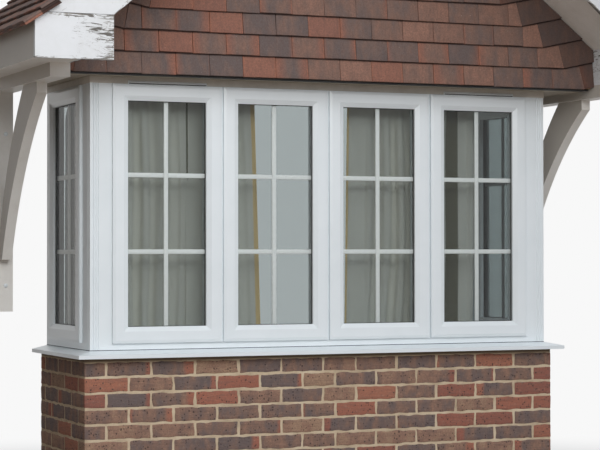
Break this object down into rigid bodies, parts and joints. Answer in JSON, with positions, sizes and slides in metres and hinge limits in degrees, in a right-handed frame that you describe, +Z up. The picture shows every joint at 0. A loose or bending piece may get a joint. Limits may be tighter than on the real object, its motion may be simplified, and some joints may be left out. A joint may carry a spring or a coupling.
{
  "type": "bay window",
  "caption": "Square bay window with a brick plinth, white casements in front and returns, and a tile-hung gable under a small tiled roof on curved brackets.",
  "frame": {"origin": "middle of the bay's outline at ground level", "axes": "+X to the right seen from outside, +Y into the house, +Z up"},
  "size_m": [3.5132, 1.43, 3.9533],
  "materials": {
    "brick": "rough fired brick with buff mortar",
    "clay_tile": "matt fired clay",
    "white_plastic": "smooth satin",
    "glazing": "clear double glazing",
    "painted_timber": "white paint, flaking",
    "sawn_timber": "sawn softwood",
    "plaster": "smooth matt plaster",
    "curtain_cloth": "lined cotton, hung in loose folds"
  },
  "bodies": {
    "root": {"plinth_front": "brick", "plinth_left": "brick", "plinth_right": "brick", "cill_front": "white_plastic", "cill_left": "white_plastic", "cill_right": "white_plastic", "window_board": "painted_timber", "corner_post_left": "white_plastic", "corner_post_right": "white_plastic", "frame_front": "white_plastic", "frame_left": "white_plastic", "frame_right": "white_plastic", "sash_1": "white_plastic", "sash_2": "white_plastic", "sash_3": "white_plastic", "sash_4": "white_plastic", "sash_left": "white_plastic", "sash_right": "white_plastic", "glass_front": "glazing", "glass_left": "glazing", "glass_right": "glazing", "trickle_vents": "white_plastic", "curtain_rail": "white_plastic", "curtains": "curtain_cloth", "soffit": "painted_timber", "ceiling": "plaster", "bracket_post_left": "painted_timber", "bracket_post_right": "painted_timber", "bracket_beam_left": "painted_timber", "bracket_beam_right": "painted_timber", "bracket_brace_left": "painted_timber", "bracket_brace_right": "painted_timber", "gable_tiles": "clay_tile", "gable_wall": "sawn_timber", "box_end_left": "painted_timber", "box_end_right": "painted_timber", "bargeboard_left": "painted_timber", "bargeboard_right": "painted_timber", "verge_soffit_left": "painted_timber", "verge_soffit_right": "painted_timber", "eaves_soffit_left": "painted_timber", "eaves_soffit_right": "painted_timber", "fascia_left": "painted_timber", "fascia_right": "painted_timber", "roof_timbers": "sawn_timber", "ceiling_joists": "sawn_timber", "roof_boarding_left": "sawn_timber", "roof_boarding_right": "sawn_timber", "roof_tiles_left": "clay_tile", "roof_tiles_right": "clay_tile", "ridge_tiles": "clay_tile"}
  },
  "joints": []
}
